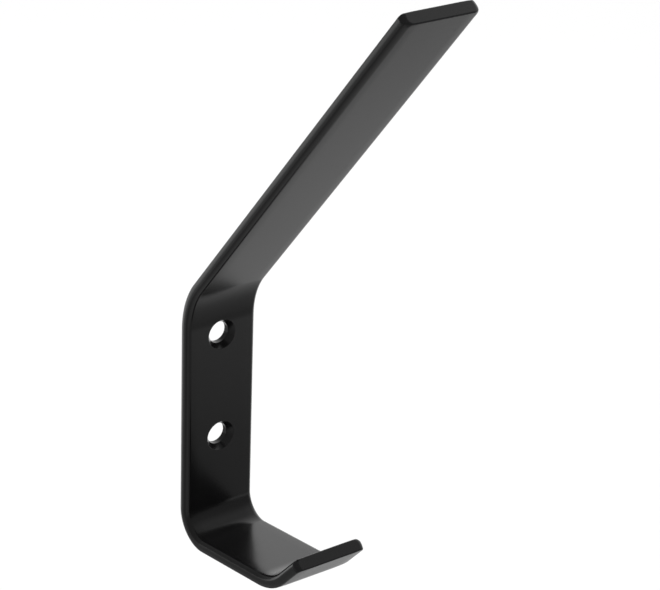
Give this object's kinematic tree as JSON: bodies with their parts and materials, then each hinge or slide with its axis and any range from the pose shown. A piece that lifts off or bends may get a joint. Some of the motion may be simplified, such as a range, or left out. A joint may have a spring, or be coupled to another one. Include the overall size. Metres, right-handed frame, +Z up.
{
  "type": "coat hook",
  "caption": "Wall hook bent from black flat steel, with a long leaning upper arm for a hat and a short upturned lower hook for a coat.",
  "frame": {"origin": "on the wall plane, the back face of the plate, midway between the two screw holes", "axes": "+Z up the wall, -Y out of the wall into the room, +X to the right when seen from the room"},
  "size_m": [0.0202, 0.0807, 0.1592],
  "materials": {
    "powder_coat": "satin black powder coat"
  },
  "bodies": {
    "root": {"hook": "powder_coat"}
  },
  "joints": []
}
